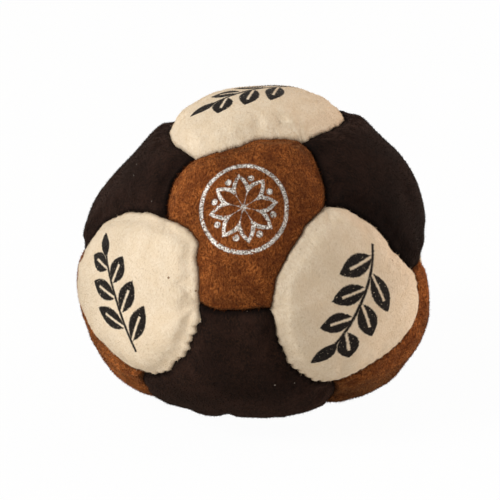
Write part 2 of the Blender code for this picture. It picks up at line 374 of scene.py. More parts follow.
def height_over_seams(gap):
    """How high the suede lies over seam level, at its distance from the seam."""
    fold = np.clip(gap / FOLD_WIDTH, 0, 1)
    crown = np.clip(gap / CROWN_REACH, 0, 1)
    tuck = FOLD_DEPTH * (np.sqrt(1 - (1 - fold) ** 2) - 1)
    return tuck + CROWN_RISE * (1 - (1 - crown) ** 2.4)


print("height in mm at 0, 1, 4 and 8 mm from a seam:",
      (height_over_seams(np.array((0, 1, 4, 8)) * MM) / MM).round(2))

# %% [markdown]
# Letting the sand swell the suede
#
# Under each panel the sand pushes outwards, and the suede, a little too large for its frame of
# seams, gives unevenly: it swells here and buckles softly there. That can be sculpted, but a cloth
# simulation finds it by itself. A plain copy of the bag is remeshed into even squares, its seams are
# pinned, and pressure blows it up for 20 frames. The copy is 20 times life size, because Blender's
# cloth is tuned for things of about a metre. Only the way that each point moved is kept.

# %% A plain copy of the bag, blown up with its seams pinned
PLAY_SCALE = 20.0
CLOTH_SQUARE = 1.15 * MM
SWELL_LIMIT = 0.75 * MM
SWELL_FRAMES = 20
PRESSURE = 6.0
WELD_DISTANCE = 0.3 * MM
PIN_REACH = 1.6
PLAIN_RING_SHARES = (0.0, 0.2, 0.4, 0.58, 0.73, 0.86, 0.95, 1.0)


def faces_between(first, rings, count):
    """The four-sided faces between rings of so many points each, which follow each other in a list."""
    faces = []
    for inner in range(first, first + (rings - 1) * count, count):
        outer = inner + count
        for here in range(count):
            after = (here + 1) % count
            faces.append((inner + here, outer + here, outer + after, inner + after))
    return faces


def plain_bag():
    """The whole bag as one closed mesh with few points, at play scale."""
    shell = bpy.data.meshes.new("plain_bag")
    points = []
    faces = []
    for sides in panel_sides.values():
        outline = np.concatenate([side[:-1] for side in sides])[::6]
        middle = unit(outline.mean(0))
        first = len(points)
        for share in PLAIN_RING_SHARES:
            ways = between(middle, outline, share)
            lift = 0.6 * CROWN_RISE * (1 - share ** 3)
            points.extend(on_bag(ways, np.full(len(ways), lift)) * PLAY_SCALE)
        faces += faces_between(first, len(PLAIN_RING_SHARES), len(outline))
    shell.from_pydata([tuple(point) for point in points], [], faces)
    bag = linked("plain_bag", shell)
    weld = bag.modifiers.new("weld", "WELD")
    weld.merge_threshold = WELD_DISTANCE * PLAY_SCALE
    even = bag.modifiers.new("even squares", "REMESH")
    even.mode = "VOXEL"
    even.voxel_size = CLOTH_SQUARE * PLAY_SCALE
    return bag


def swollen(bag):
    """The points of the plain bag before and after its cloth is blown up, at life size."""
    graph = bpy.context.evaluated_depsgraph_get()
    cloth_mesh = bpy.data.meshes.new_from_object(bag.evaluated_get(graph))
    bag.modifiers.clear()
    bag.data = cloth_mesh
    before = np.array([point.co for point in cloth_mesh.vertices])
    seams = np.concatenate([on_bag(side) for sides in panel_sides.values() for side in sides])
    seam_points = KDTree(len(seams))
    for index, place in enumerate(seams):
        seam_points.insert(Vector(place * PLAY_SCALE), index)
    seam_points.balance()
    pins = bag.vertex_groups.new(name="seams")
    for point in cloth_mesh.vertices:
        gap = seam_points.find(point.co)[2] / PLAY_SCALE
        pins.add([point.index], max(0.0, min(1.0, PIN_REACH - gap / MM)), "REPLACE")
    cloth = bag.modifiers.new("cloth", "CLOTH")
    cloth.settings.vertex_group_mass = "seams"
    cloth.settings.use_pressure = True
    cloth.settings.uniform_pressure_force = PRESSURE
    cloth.settings.effector_weights.gravity = 0.0
    cloth.settings.shrink_min = -0.05
    cloth.settings.bending_stiffness = 0.3
    cloth.settings.quality = 6
    scene = bpy.context.scene
    for step in range(1, SWELL_FRAMES + 1):
        scene.frame_set(step)
    graph = bpy.context.evaluated_depsgraph_get()
    after = np.array([point.co for point in bag.evaluated_get(graph).data.vertices])
    scene.frame_set(1)
    bpy.data.objects.remove(bag)
    return before / PLAY_SCALE, after / PLAY_SCALE


cloth_places, cloth_after = swollen(plain_bag())
cloth_moves = cloth_after - cloth_places
reach = np.linalg.norm(cloth_moves, axis=1, keepdims=True)
print("cloth points:", len(cloth_places), "moved in mm, middle and most:",
      round(float(np.median(reach)) / MM, 2), round(float(reach.max()) / MM, 2))
cloth_moves *= np.minimum(1.0, SWELL_LIMIT / np.maximum(reach, 1e-9))

# %% [markdown]
# Stitches that pull at the suede
#
# The stitches are hidden in the folds, about 1.7 mm apart, but each one draws the fold down a little
# and lets the suede bulge before the next, so some edges look scalloped. Every seam is numbered in
# stitches from its own middle, so that both of its panels agree. The pull is uneven, and strong on
# a few seams only. The sewer also pulled three seams together at each corner, which leaves a pit.

# %% How each seam is gathered
STITCH_PITCH = 1.7 * MM
SCALLOP = 0.07 * MM
STRONG_SCALLOP = 0.30 * MM
CORNER_PIT = 0.45 * MM
CORNER_FOLD = 0.3 * MM
STRONG_SEAMS = (
    ("front_right", "front_left", "bottom"),
    ("front_right", "bottom", "back_right"),
    ("front_left", "bottom", "front_right"),
    ("top", "front_right", "back_right"),
    ("back_right", "front_right", "bottom"),
    ("back_left", "top", "back_right"),
)


def unevenness(places, grain, seed):
    """Soft noise from about -1 to 1 at many places, changing over so many metres."""
    return np.array([noise.noise(Vector(place) / grain + Vector((seed, 0, 0))) for place in places])


def length_from_middle(places):
    """How far along a line each of its points is from its middle."""
    runs = np.linalg.norm(np.diff(places, axis=0), axis=1)
    along = np.concatenate([[0], np.cumsum(runs)])
    return along - along[-1] / 2


def stitch_pull(side):
    """How strongly the stitches draw in each point of a seam: 1 at a stitch, 0 on the bulge between two."""
    places = on_bag(side)
    turns = length_from_middle(places) / STITCH_PITCH + 0.4 * unevenness(places, 5.0 * MM, 6.0)
    return 1 - np.abs(np.sin(math.pi * turns)) ** 1.2


def scallops_of(name):
    """How far the suede bulges between the stitches on each side of a panel, cream over dark."""
    creams = name.removeprefix("cream_panel_")
    strong = {(cream, frozenset(pair)) for cream, *pair in STRONG_SEAMS}
    sizes = []
    if name.startswith("cream"):
        ring = CREAM_NEIGHBOURS[creams]
        for pair in zip(ring, ring[1:] + ring[:1]):
            sizes.append(-(STRONG_SCALLOP if (creams, frozenset(pair)) in strong else SCALLOP))
        return sizes
    first, second, third = DARK_PANELS[name]
    for cream, after, before in ((first, second, third), (second, third, first), (third, first, second)):
        sizes.append(STRONG_SCALLOP if (cream, frozenset((before, after))) in strong else SCALLOP)
        sizes.append(0.0)
    return sizes


print("stitches round the top panel:",
      sum(round(2 * length_from_middle(on_bag(side))[-1] / STITCH_PITCH) for side in cream_sides("top")))

# %% [markdown]
# One suede panel
#
# A panel is a flat piece of suede that was cut with a margin. The margin is folded under at the seam
# and stands inwards, back to back with its neighbour's. It could be a curved sheet with a Solidify
# modifier, but the fold is tighter than the suede is thick, and Solidify would tangle there. So the
# panel is laid out in rings, like a target: over the skin from the middle to the seam, down the
# turned-in margin, round its cut edge and back under the skin. Rings crowd together at the seam.

# %% Rings of a panel and the unevenness of its suede
SKIN_GAPS = np.array((0, 0.04, 0.1, 0.18, 0.28, 0.4, 0.55, 0.72, 0.92, 1.15, 1.45, 1.8, 2.2, 2.65, 3.1,
                      3.6, 4.15, 4.7, 5.3, 5.9, 6.5, 7.1, 7.7, 8.3, 8.9, 9.5, 10.1, 10.7, 11.3, 11.9,
                      12.5, 13.1, 13.7, 14.6, 15.5)) / 15.5
SKIN_SHARES = (1 - SKIN_GAPS)[::-1]
UNDERSIDE_RINGS = (6, 14, 21, 26)

# How far each kind of unevenness reaches from the seam, and how big it is
DENT_EDGE = 0.6 * MM
GATHER_WIDTH = 0.75 * MM
GATHER_GRAIN = 3.0 * MM
STITCH_DIMPLE = 0.03 * MM
PIT_WIDTH = 1.1 * MM
CORNER_FOLD_REACH = 2.6 * MM
CORNER_FOLD_COUNT = 2.6
PUCKER = 0.08 * MM
PUCKER_REACH = 1.6 * MM
PUCKER_GRAINS = (1.7 * MM, 4.0 * MM)
SWELL_START = 2.2 * MM
CLOTH_BLUR = 0.3 * MM

# Soft dents of each panel: place right of and above its middle, depth and width, all in mm
DENTS = {
    "cream_panel_front_right": ((-3.0, 1.5, 1.1, 6.5), (-7.5, 4.5, 0.45, 2.8), (6.0, -7.0, 0.3, 3.0)),
    "cream_panel_front_left": ((6.5, -8.0, 0.15, 3.0), (-8.0, 5.0, 0.25, 3.0)),
    "cream_panel_bottom": ((0.0, -12.0, 0.8, 4.5), (8.0, -9.5, 0.8, 4.0), (-8.0, -9.5, 0.8, 4.0)),
    "black_panel_lower_front": ((0.0, -10.0, 0.2, 4.0), (-7.0, -9.0, 0.2, 3.5), (2.5, 3.5, 0.3, 2.4)),
    "cream_panel_top": ((-6.0, -8.0, 0.25, 3.0), (9.0, -5.0, 0.3, 2.6)),
    "brown_panel_upper_front": ((3.0, -5.5, 0.55, 3.2), (-5.5, 1.0, 0.25, 2.4)),
    "black_panel_upper_left": ((1.0, -4.0, 0.35, 2.6),),
    "black_panel_upper_right": ((-3.0, -4.0, 0.4, 2.2),),
    "brown_panel_lower_right": ((2.0, 4.0, 0.4, 2.2), (-4.0, 0.0, 0.3, 2.0), (2.0, 11.0, 0.5, 3.0)),
    "brown_panel_lower_left": ((0.0, 3.5, 0.25, 2.4),),
    "cream_panel_back_right": ((5.0, 5.0, 0.35, 3.0),),
    "cream_panel_back_left": ((-6.0, -3.0, 0.35, 3.0),),
    "brown_panel_upper_back": ((0.0, -4.0, 0.3, 2.4),),
    "black_panel_lower_back": ((3.0, 2.0, 0.3, 2.4),),
}


# %% Helpers for laying a panel out
def inward_ways(places, outline):
    """At each station the way into the panel, longer at its corners so that the edges stay parallel."""
    ahead = np.roll(places, -1, axis=0) - places
    sides = unit(np.cross(outline, ahead))
    before = np.roll(sides, 1, axis=0)
    return (before + sides) / (1 + (before * sides).sum(1, keepdims=True))


def flat_map(ways, middle):
    """Where each direction lies on the panel spread flat, in mm to the right of and above its middle."""
    upright = np.array((0.0, 0.0, 1.0)) if abs(middle[2]) < 0.9 else np.array((0.0, 1.0, 0.0))
    right = unit(np.cross(upright, middle))
    up = np.cross(middle, right)
    off = np.arccos(np.clip(ways @ middle, -1, 1))
    across = np.stack([ways @ right, ways @ up], axis=-1)
    length = np.maximum(np.linalg.norm(across, axis=-1), 1e-9)
    return across / length[..., None] * (off * SEAM_RADIUS / MM)[..., None]


def cloth_move(places):
    """How the blown-up cloth moved near each place."""
    if not len(cloth_places):
        return np.zeros(places.shape)
    moves = []
    for place in places.reshape(-1, 3):
        near = cloth_tree.find_n(place, 4)
        weights = np.array([1 / (gap + CLOTH_BLUR) for _, _, gap in near])
        moves.append(weights @ cloth_moves[[index for _, index, _ in near]] / weights.sum())
    return np.array(moves).reshape(places.shape)


# %% Lay every panel out
cloth_tree = KDTree(len(cloth_places))
for index, place in enumerate(cloth_places):
    cloth_tree.insert(place, index)
cloth_tree.balance()


def laid_out(name):
    """The rings of one panel and what its materials need to know at each point."""
    sides = panel_sides[name]
    outline = np.concatenate([side[:-1] for side in sides])
    middle = unit(outline.mean(0))
    ways = between(middle, outline, SKIN_SHARES[:, None, None])
    seam_places = on_bag(outline)
    inward = inward_ways(seam_places, outline)
    level = on_bag(ways)
    gap = way_to_seams(level, sides)
    flat = flat_map(ways, middle)

    lift = height_over_seams(gap)
    for right, up, depth, width in DENTS.get(name, ()):
        off = np.linalg.norm(flat - np.array((right, up)), axis=-1)
        lift -= depth * MM * np.exp(-(off / width) ** 2) * np.clip(gap / DENT_EDGE, 0, 1)
    pull = np.concatenate([stitch_pull(side)[:-1] for side in sides])
    sizes = zip(sides, scallops_of(name))
    scallop = np.concatenate([np.full(len(side) - 1, size) for side, size in sizes])
    scallop *= np.clip(0.8 + 2.0 * unevenness(seam_places, GATHER_GRAIN, 3.0), 0.1, 1.5)
    spaces = [DARK_SEAM_SPACE if len(side) == DARK_SEAM_STEPS + 1 else SEAM_SPACE for side in sides]
    space = np.concatenate([np.full(len(side) - 1, wide) for side, wide in zip(sides, spaces)])
    near_fold = np.exp(-(gap / GATHER_WIDTH) ** 2)
    for side in sides:
        off = np.linalg.norm(level - on_bag(side[0]), axis=-1)
        lift -= CORNER_PIT * np.exp(-(off / PIT_WIDTH) ** 2)
        spoke = (level - on_bag(side[0])) / np.maximum(off, 0.01 * MM)[..., None]
        round_corner = spoke.reshape(-1, 3) * CORNER_FOLD_COUNT + 10 * side[0]
        fold = np.array([noise.noise(Vector(way)) for way in round_corner])
        reach = off / CORNER_FOLD_REACH
        fold = CORNER_FOLD * fold.reshape(off.shape) * reach * np.exp(1 - reach)
        lift += fold * np.clip(gap / MM, 0, 1)
    lift -= (STITCH_DIMPLE + 0.2 * np.abs(scallop)) * pull * near_fold
    fine, coarse = PUCKER_GRAINS
    gathers = unevenness(seam_places, fine, 8.0) + 0.6 * unevenness(seam_places, coarse, 5.0)
    reach = gap / PUCKER_REACH
    lift += PUCKER * gathers * reach * np.exp(1 - reach) * np.clip(SKIN_SHARES, 0, 1)[:, None] ** 2

    settled = np.clip(gap / SWELL_START, 0, 1) ** 1.5
    skin = level + lift[..., None] * ways
    skin += settled[..., None] * cloth_move(level)
    skin += (scallop * (1 - pull) * near_fold)[..., None] * inward
    skin += (0.5 * space * near_fold)[..., None] * inward
    return {"outline": outline, "middle": middle, "inward": inward, "seam": seam_places,
            "skin": skin, "gap": gap, "flat": flat, "ways": ways}


BAG_MIDDLE = np.array((0.15, 0.0, 24.34)) * MM
lay = {name: laid_out(name) for name in panel_sides}
print("points on the skins:", sum(panel["skin"].size // 3 for panel in lay.values()))

# %% [markdown]
# Where the prints lie
#
# The cream panels carry a bold leaf sprig in black ink, and the front brown panel a silver rosette.
# Each print gets its own flat coordinates in mm: the panel's, moved, turned and bent a little, as a
# transfer goes on by hand. Drawing the print in a material, over these coordinates, keeps its edge
# sharp however coarse the mesh is. On a panel with no print they lie far away.

# %% Places and turns of the prints
PRINT_PLACES = {
    "cream_panel_top": (0.5, 0.5, 118, 1.0, 0.018),
    "cream_panel_front_left": (-0.5, -0.5, 32, 1.0, -0.016),
    "cream_panel_front_right": (0.8, 0.0, 148, 1.05, 0.016),
    "cream_panel_back_right": (0.0, 0.5, 40, 1.0, 0.018),
    "cream_panel_back_left": (0.5, -0.5, -35, 1.0, -0.018),
    "cream_panel_bottom": (0.0, 0.0, 75, 1.0, 0.016),
    "brown_panel_upper_front": (0.2, 0.3, 12, 1.0, 0.0),
}
NO_PRINT = 90.0


def print_map(name, flat):
    """The print's own coordinates in mm: across its stem and along it."""
    if name not in PRINT_PLACES:
        return np.full(flat.shape, NO_PRINT)
    right, up, turn, size, bend = PRINT_PLACES[name]
    turn = math.radians(turn)
    moved = (flat - np.array((right, up))) / size
    across = moved[..., 0] * math.cos(turn) + moved[..., 1] * math.sin(turn)
    along = -moved[..., 0] * math.sin(turn) + moved[..., 1] * math.cos(turn)
    return np.stack([across - bend * along ** 2, along], axis=-1)


# %% Build the suede panels
MARGIN_DEPTH = 3.0 * MM
FLOOR_GAP = 0.03 * MM

# Painted light and shade: some panels are painted lighter or darker, and some pass from dark to
# light, where light and shade fall on them: tone, change for each mm to the right, and upwards
PAINTED_LIGHT_TONES = {
    "cream_panel_top": (1.04, 0.0, 0.0),
    "cream_panel_front_left": (1.01, 0.009, 0.0),
    "cream_panel_front_right": (0.98, 0.006, 0.0),
    "brown_panel_upper_front": (1.0, -0.012, 0.0),
    "brown_panel_lower_right": (0.85, 0.0, 0.035),
    "brown_panel_lower_left": (1.15, 0.0, 0.0),
    "black_panel_lower_front": (0.92, 0.0, 0.01),
    "black_panel_upper_left": (0.82, 0.0, 0.01),
    "black_panel_upper_right": (0.5, 0.0, 0.02),
}


def painted_light_tone(name, flat):
    """How much lighter or darker a panel is painted at each place, as painted light and shade."""
    tone, to_right, upwards = PAINTED_LIGHT_TONES.get(name, (1.0, 0.0, 0.0))
    return np.clip(tone + to_right * flat[:, 0] + upwards * flat[:, 1], 0.3, 1.5)


def with_third(flat):
    """Rows of two numbers with a third, 0, because a mesh keeps its marks as vectors of three."""
    return np.concatenate([flat, np.zeros((len(flat), 1))], axis=1)


def panel_object(name):
    """A closed panel: skin, turned-in margin and underside, with its marks for the materials."""
    panel = lay[name]
    seam, inward, outline = panel["seam"], panel["inward"], panel["outline"]
    edge_flat = panel["flat"][-1]
    edge_gap = np.zeros(len(outline))
    rings = [(panel["skin"][ring], panel["flat"][ring], panel["gap"][ring], 1.0)
             for ring in range(1, len(SKIN_SHARES))]
    near = 0.5 * SEAM_SPACE
    far = near + SUEDE_THICKNESS
    for inset, depth in ((near, 0.5 * MARGIN_DEPTH), (near, MARGIN_DEPTH),
                         (far, MARGIN_DEPTH), (far, FOLD_DEPTH + SUEDE_THICKNESS)):
        rings.append((seam + inset * inward - depth * outline, edge_flat, edge_gap, 0.0))
    for ring in reversed(UNDERSIDE_RINGS):
        under = panel["skin"][ring] - SUEDE_THICKNESS * panel["ways"][ring]
        rings.append((under, panel["flat"][ring], panel["gap"][ring], 0.0))
    top = (panel["skin"][0][:1], panel["flat"][0][:1], panel["gap"][0][:1], 1.0)
    under = (top[0] - SUEDE_THICKNESS * panel["middle"], top[1], top[2], 0.0)
    parts = [top] + rings + [under]

    points = np.concatenate([places for places, _, _, _ in parts]) + BAG_MIDDLE
    points[:, 2] = np.maximum(points[:, 2], FLOOR_GAP)
    flat = np.concatenate([flat for _, flat, _, _ in parts])
    gap = np.concatenate([gap for _, _, gap, _ in parts]) / MM
    fuzz = np.concatenate([np.full(len(places), fuzz) for places, _, _, fuzz in parts])
    count = len(outline)
    faces = [(0, 1 + here, 1 + (here + 1) % count) for here in range(count)]
    faces += faces_between(1, len(rings), count)
    last = 1 + (len(rings) - 1) * count
    faces += [(last + here, len(points) - 1, last + (here + 1) % count) for here in range(count)]

    mesh = bpy.data.meshes.new(name + "_suede")
    mesh.from_pydata(points.tolist(), [], faces)
    mesh.shade_smooth()
    # The tone mark carries each panel's painted light and shade into the suede and its nap.
    for mark, kind, values in (("flat", "FLOAT_VECTOR", with_third(flat)),
                               ("print", "FLOAT_VECTOR", with_third(print_map(name, flat))),
                               ("gap", "FLOAT", gap), ("fuzz", "FLOAT", fuzz),
                               ("tone", "FLOAT", painted_light_tone(name, flat))):
        field = "vector" if kind == "FLOAT_VECTOR" else "value"
        mesh.attributes.new(mark, kind, "POINT").data.foreach_set(field, values.ravel())
    return linked(name + "_suede", mesh)


suede_panels = {name: panel_object(name) for name in panel_sides}
print("panel faces:", sum(len(made.data.polygons) for made in suede_panels.values()))

# %% [markdown]
# Adding nodes
#
# Materials and Geometry Nodes trees are both made of nodes. One small helper adds a node, sets it up
# and links what goes into it, so each tree below reads from top to bottom like a recipe. Each tree
# gives it a short name of its own, add, so that the tree needn't be named on every line.

# %% The one helper for nodes
def add_node(tree, kind, inputs=None, **settings):
    """Add a node with its settings. Each input is a value, a socket that feeds it, or a node whose
    first output does. Inputs come by name or number, or as a list in their order. A kind with no
    family named is a shader node, and these serve in Geometry Nodes too. The kind may be followed
    by a blank and its operation."""
    kind, _, operation = kind.partition(" ")
    family = "" if kind.startswith(("Geometry", "Function", "NodeGroup")) else "ShaderNode"
    node = tree.nodes.new(family + kind)
    if operation:
        node.operation = operation
    for name, value in settings.items():
        setattr(node, name, value)
    named = inputs.items() if isinstance(inputs, dict) else enumerate(inputs or [])
    for name, value in named:
        if isinstance(value, bpy.types.Node):
            value = value.outputs[0]
        if isinstance(value, bpy.types.NodeSocket):
            tree.links.new(value, node.inputs[name])
        else:
            node.inputs[name].default_value = value
    return node


def empty_material(name):
    """A material whose tree has no nodes yet."""
    made = bpy.data.materials.new(name)
    made.use_nodes = True
    made.node_tree.nodes.clear()
    return made


def linear(hex_colour):
    """An sRGB colour such as #c8a070 as the linear values that Blender works with."""
    parts = [int(hex_colour[place:place + 2], 16) / 255 for place in (1, 3, 5)]
    return (*[part / 12.92 if part < 0.04045 else ((part + 0.055) / 1.055) ** 2.4 for part in parts],
            1.0)


print("cream in linear values:", [round(part, 3) for part in linear("#ebd7b9")])

# %% [markdown]
# The two prints
#
# A print could be an image, but a drawing made of arithmetic is sharp at any size. The sprig uses
# mirror and repeat: the distance from the stem is folded over, and the way along it is counted off
# every few millimetres, so that one lens shape gives both rows of leaves. The rosette folds the
# angle round its middle into sixteen, and one half petal gives all eight. Both give 1 on the print
# and 0 beside it, with an edge about 0.1 mm soft, because ink creeps a little way into the nap.

# %% Print coordinates and a soft edge
EDGE_SOFTNESS = 0.1


def print_place(tree, creep):
    """The print's coordinates, shaken a little so that its edge follows the nap."""
    add = partial(add_node, tree)
    place = add("Attribute", attribute_name="print").outputs["Vector"]
    shake = add("TexNoise", {"Vector": place, "Scale": 3.5, "Detail": 2.0})
    centred = add("VectorMath SUBTRACT", [shake.outputs["Color"], (0.5, 0.5, 0.5)])
    return add("VectorMath MULTIPLY_ADD", [centred, (creep, creep, 0.0), place])


def soft_edge(tree, inside):
    """Turn a distance inside a shape, in mm, into 1 inside, 0 outside and a short slope between."""
    return add_node(tree, "MapRange", {"Value": inside, "From Min": 0.0, "From Max": 2 * EDGE_SOFTNESS})


print("edge of the prints:", 2 * EDGE_SOFTNESS, "mm from bare to full")

# %% The leaf sprig
LEAF_PITCH = 4.9
LEAF_TURN = math.radians(42)
LEAF_REACH = 7.6
LEAF_WIDTH = 1.7
LEAF_ROWS_REACH = 6.2
FIRST_ROW, LAST_ROW = -8.0, 9.0
RIB_HALF_WIDTH = 0.1
RIB_END_SHARE = 0.7
STEM_HALF_WIDTH = 0.36
STEM_MIDDLE, STEM_REACH = -0.5, 8.6
TIP_START, TIP_END = 6.8, 11.6
TIP_WIDTH = 1.3


def leaf_sprig(tree):
    """1 where the black sprig is printed."""
    add = partial(add_node, tree)
    split = add("SeparateXYZ", [print_place(tree, 0.35)])
    across, along = split.outputs[0], split.outputs[1]
    from_stem = add("Math ABSOLUTE", [across])
    other_side = add("Math GREATER_THAN", [across, 0.0])
    stagger = add("Math MULTIPLY_ADD", [other_side, 0.5 * LEAF_PITCH, along])
    rising = add("Math MULTIPLY_ADD", [from_stem, -math.tan(LEAF_TURN), stagger])
    half_up = add("Math ADD", [rising, 0.5 * LEAF_PITCH])
    row = add("Math SNAP", [half_up, LEAF_PITCH])
    over_row = add("Math SUBTRACT", [stagger, row])
    spot = add("CombineXYZ", [from_stem, over_row])
    laid = add("Mapping", {"Vector": spot, "Rotation": (0, 0, -LEAF_TURN)})
    on_leaf = add("SeparateXYZ", [laid])
    off_rib = add("Math ABSOLUTE", [on_leaf.outputs[1]])
    reach = add("MapRange", {"Value": row, "From Min": FIRST_ROW, "From Max": LAST_ROW,
                             "To Min": LEAF_REACH, "To Max": 0.6 * LEAF_REACH})
    share = add("Math DIVIDE", [on_leaf, reach], use_clamp=True)
    rest = add("Math SUBTRACT", [1.0, share])
    bulge = add("Math MULTIPLY", [share, rest])
    width = add("Math MULTIPLY", [bulge, 4.0 * LEAF_WIDTH])
    blade = add("Math SUBTRACT", [width, off_rib])
    beside_rib = add("Math SUBTRACT", [off_rib, RIB_HALF_WIDTH])
    near_tip = add("Math GREATER_THAN", [share, RIB_END_SHARE])
    open_rib = add("Math ADD", [beside_rib, near_tip])
    in_leaf = add("Math MINIMUM", [blade, open_rib])
    leaves = soft_edge(tree, in_leaf)
    on_stem = add("Math COMPARE", [row, 0.5, LEAF_ROWS_REACH])
    leaves = add("Math MULTIPLY", [leaves, on_stem])

    stem_side = add("Math SUBTRACT", [STEM_HALF_WIDTH, from_stem])
    stem_end = add("Math COMPARE", [along, STEM_MIDDLE, STEM_REACH])
    stem = add("Math MULTIPLY", [soft_edge(tree, stem_side), stem_end])
    up_tip = add("MapRange", {"Value": along, "From Min": TIP_START, "From Max": TIP_END})
    past_tip = add("Math SUBTRACT", [1.0, up_tip])
    tip = add("Math MULTIPLY", [up_tip, past_tip])
    tip_width = add("Math MULTIPLY", [tip, 4.0 * TIP_WIDTH])
    in_tip = add("Math SUBTRACT", [tip_width, from_stem])
    both = add("Math MAXIMUM", [leaves, stem])
    return add("Math MAXIMUM", [both, soft_edge(tree, in_tip)])


# %% The rosette
PETAL_LENGTH = 5.3
PETAL_WIDTH = 1.15
RING_RADIUS = 7.0
STROKE = 0.42
ROSETTE_TURN = math.pi / 8
DOT_PLACE = 4.9
DOT_RADIUS = 0.6


def rosette(tree):
    """1 where the silver rosette is printed."""
    add = partial(add_node, tree)
    place = print_place(tree, 0.15)
    split = add("SeparateXYZ", [place])
    radius = add("VectorMath LENGTH", [place]).outputs["Value"]
    angle = add("Math ARCTAN2", [split.outputs[1], split])
    folded = add("Math PINGPONG", [angle, ROSETTE_TURN])
    part_along = add("Math COSINE", [folded])
    part_across = add("Math SINE", [folded])
    along = add("Math MULTIPLY", [part_along, radius])
    across = add("Math MULTIPLY", [part_across, radius])
    share = add("Math DIVIDE", [along, PETAL_LENGTH])
    rest = add("Math SUBTRACT", [1.0, share])
    bulge = add("Math MULTIPLY", [share, rest])
    width = add("Math MULTIPLY", [bulge, 4.0 * PETAL_WIDTH])
    off_petal = add("Math SUBTRACT", [across, width])
    petal_gap = add("Math ABSOLUTE", [off_petal])
    petals = add("Math SUBTRACT", [STROKE, petal_gap])
    off_ring = add("Math SUBTRACT", [radius, RING_RADIUS])
    ring_gap = add("Math ABSOLUTE", [off_ring])
    ring = add("Math SUBTRACT", [STROKE, ring_gap])
    spot = add("CombineXYZ", [along, across])
    dot = (DOT_PLACE * math.cos(ROSETTE_TURN), DOT_PLACE * math.sin(ROSETTE_TURN), 0)
    dot_gap = add("VectorMath DISTANCE", [spot, dot])
    dots = add("Math SUBTRACT", [DOT_RADIUS, dot_gap.outputs["Value"]])
    lines = add("Math MAXIMUM", [petals, ring])
    inside = add("Math MAXIMUM", [lines, dots])
    return soft_edge(tree, inside)


# %% [markdown]
# Suede
#
# Suede is the flesh side of a hide, or a close copy of it, brushed until its fibres stand up as a
# short nap. It has no gloss. The eye sees fine crossing streaks where bundles of fibres lean one way
# or another, cloudy patches where a finger has stroked it, a faint bloom of light where it curves
# away, and darker folds, which here are painted shade along the seams. Real fibres are 0.03 mm
# thick, far below a pixel here, so the streaks are drawn about 0.3 mm wide and 0.5 mm long, as
# bundles. Each of the three colours is the same recipe.

# %% Streaks of the nap
STREAK_LENGTH = 0.48
STREAK_WIDTH = 0.26


def nap_streaks(tree, flat, look):
    """Fine crossing streaks: one noise for the fibres that lean up, one for those that lean down."""
    add = partial(add_node, tree)
    # The nap swirls: its streaks turn slowly from place to place.
    swirl = add("TexNoise", {"Vector": flat, "Scale": 0.2, "Detail": 1.0})
    turned = add("VectorMath MULTIPLY_ADD", [swirl.outputs["Color"], (2.0, 2.0, 0.0), flat])
    long, wide = look["streak_size"] * STREAK_LENGTH, look["streak_size"] * STREAK_WIDTH
    streaks = []
    for turn, place in ((55, 0), (125, 60), (90, 130)):
        laid = add("Mapping",
                   {"Vector": turned, "Location": (place, place, 0),
                    "Rotation": (0, 0, math.radians(turn)), "Scale": (long, wide, 1)},
                   vector_type="TEXTURE")
        streaks.append(add("TexNoise", {"Vector": laid, "Scale": 1.0, "Detail": 2.0, "Roughness": 0.6}))
    return add("Math MAXIMUM", streaks[:2]), streaks[2]


# %% Ink and silver on the nap
def with_ink(tree, flat, lit, colour, shader):
    """Black ink over a suede. It lies on the tips of the nap, so bare tips show as pale pinholes."""
    add = partial(add_node, tree)
    bare = add("TexNoise", {"Vector": flat, "Scale": 2.6, "Detail": 3.0, "Roughness": 0.7})
    covered = add("MapRange", {"Value": bare, "From Min": 0.70, "From Max": 0.64})
    mask = add("Math MULTIPLY", [leaf_sprig(tree), covered])
    inked = add("Mix", {0: lit, 6: linear("#15110f"), 7: linear("#39302a")},
                data_type="RGBA").outputs[2]
    rough = add("MapRange", {"Value": mask, "To Min": 0.95, "To Max": 0.7})
    tree.links.new(rough.outputs[0], shader.inputs["Roughness"])
    return add("Mix", {0: mask, 6: colour, 7: inked}, data_type="RGBA").outputs[2]


def with_silver(tree, flat, colour, shader):
    """Silver transfer over a suede: tiny flakes with painted glints, from dull grey to bright, some already
    rubbed off.
    """
    add = partial(add_node, tree)
    flakes = add("TexVoronoi", {"Vector": flat, "Scale": 5.0})
    tone = add("SeparateColor", [flakes.outputs["Color"]])
    held = add("MapRange", {"Value": tone.outputs[1], "From Min": 0.04, "From Max": 0.16})
    mask = add("Math MULTIPLY", [rosette(tree), held])
    # Painted glints: each flake is painted from dull grey to near white, as if turned to or from the light.
    silver = add("Mix", {0: tone, 6: linear("#6d655b"), 7: linear("#f3efe8")},
                 data_type="RGBA").outputs[2]
    metal = add("Math MULTIPLY", [mask, 0.35])
    rough = add("MapRange", {"Value": mask, "To Min": 0.95, "To Max": 0.45})
    tree.links.new(metal.outputs[0], shader.inputs["Metallic"])
    tree.links.new(rough.outputs[0], shader.inputs["Roughness"])
    return add("Mix", {0: mask, 6: colour, 7: silver}, data_type="RGBA").outputs[2]


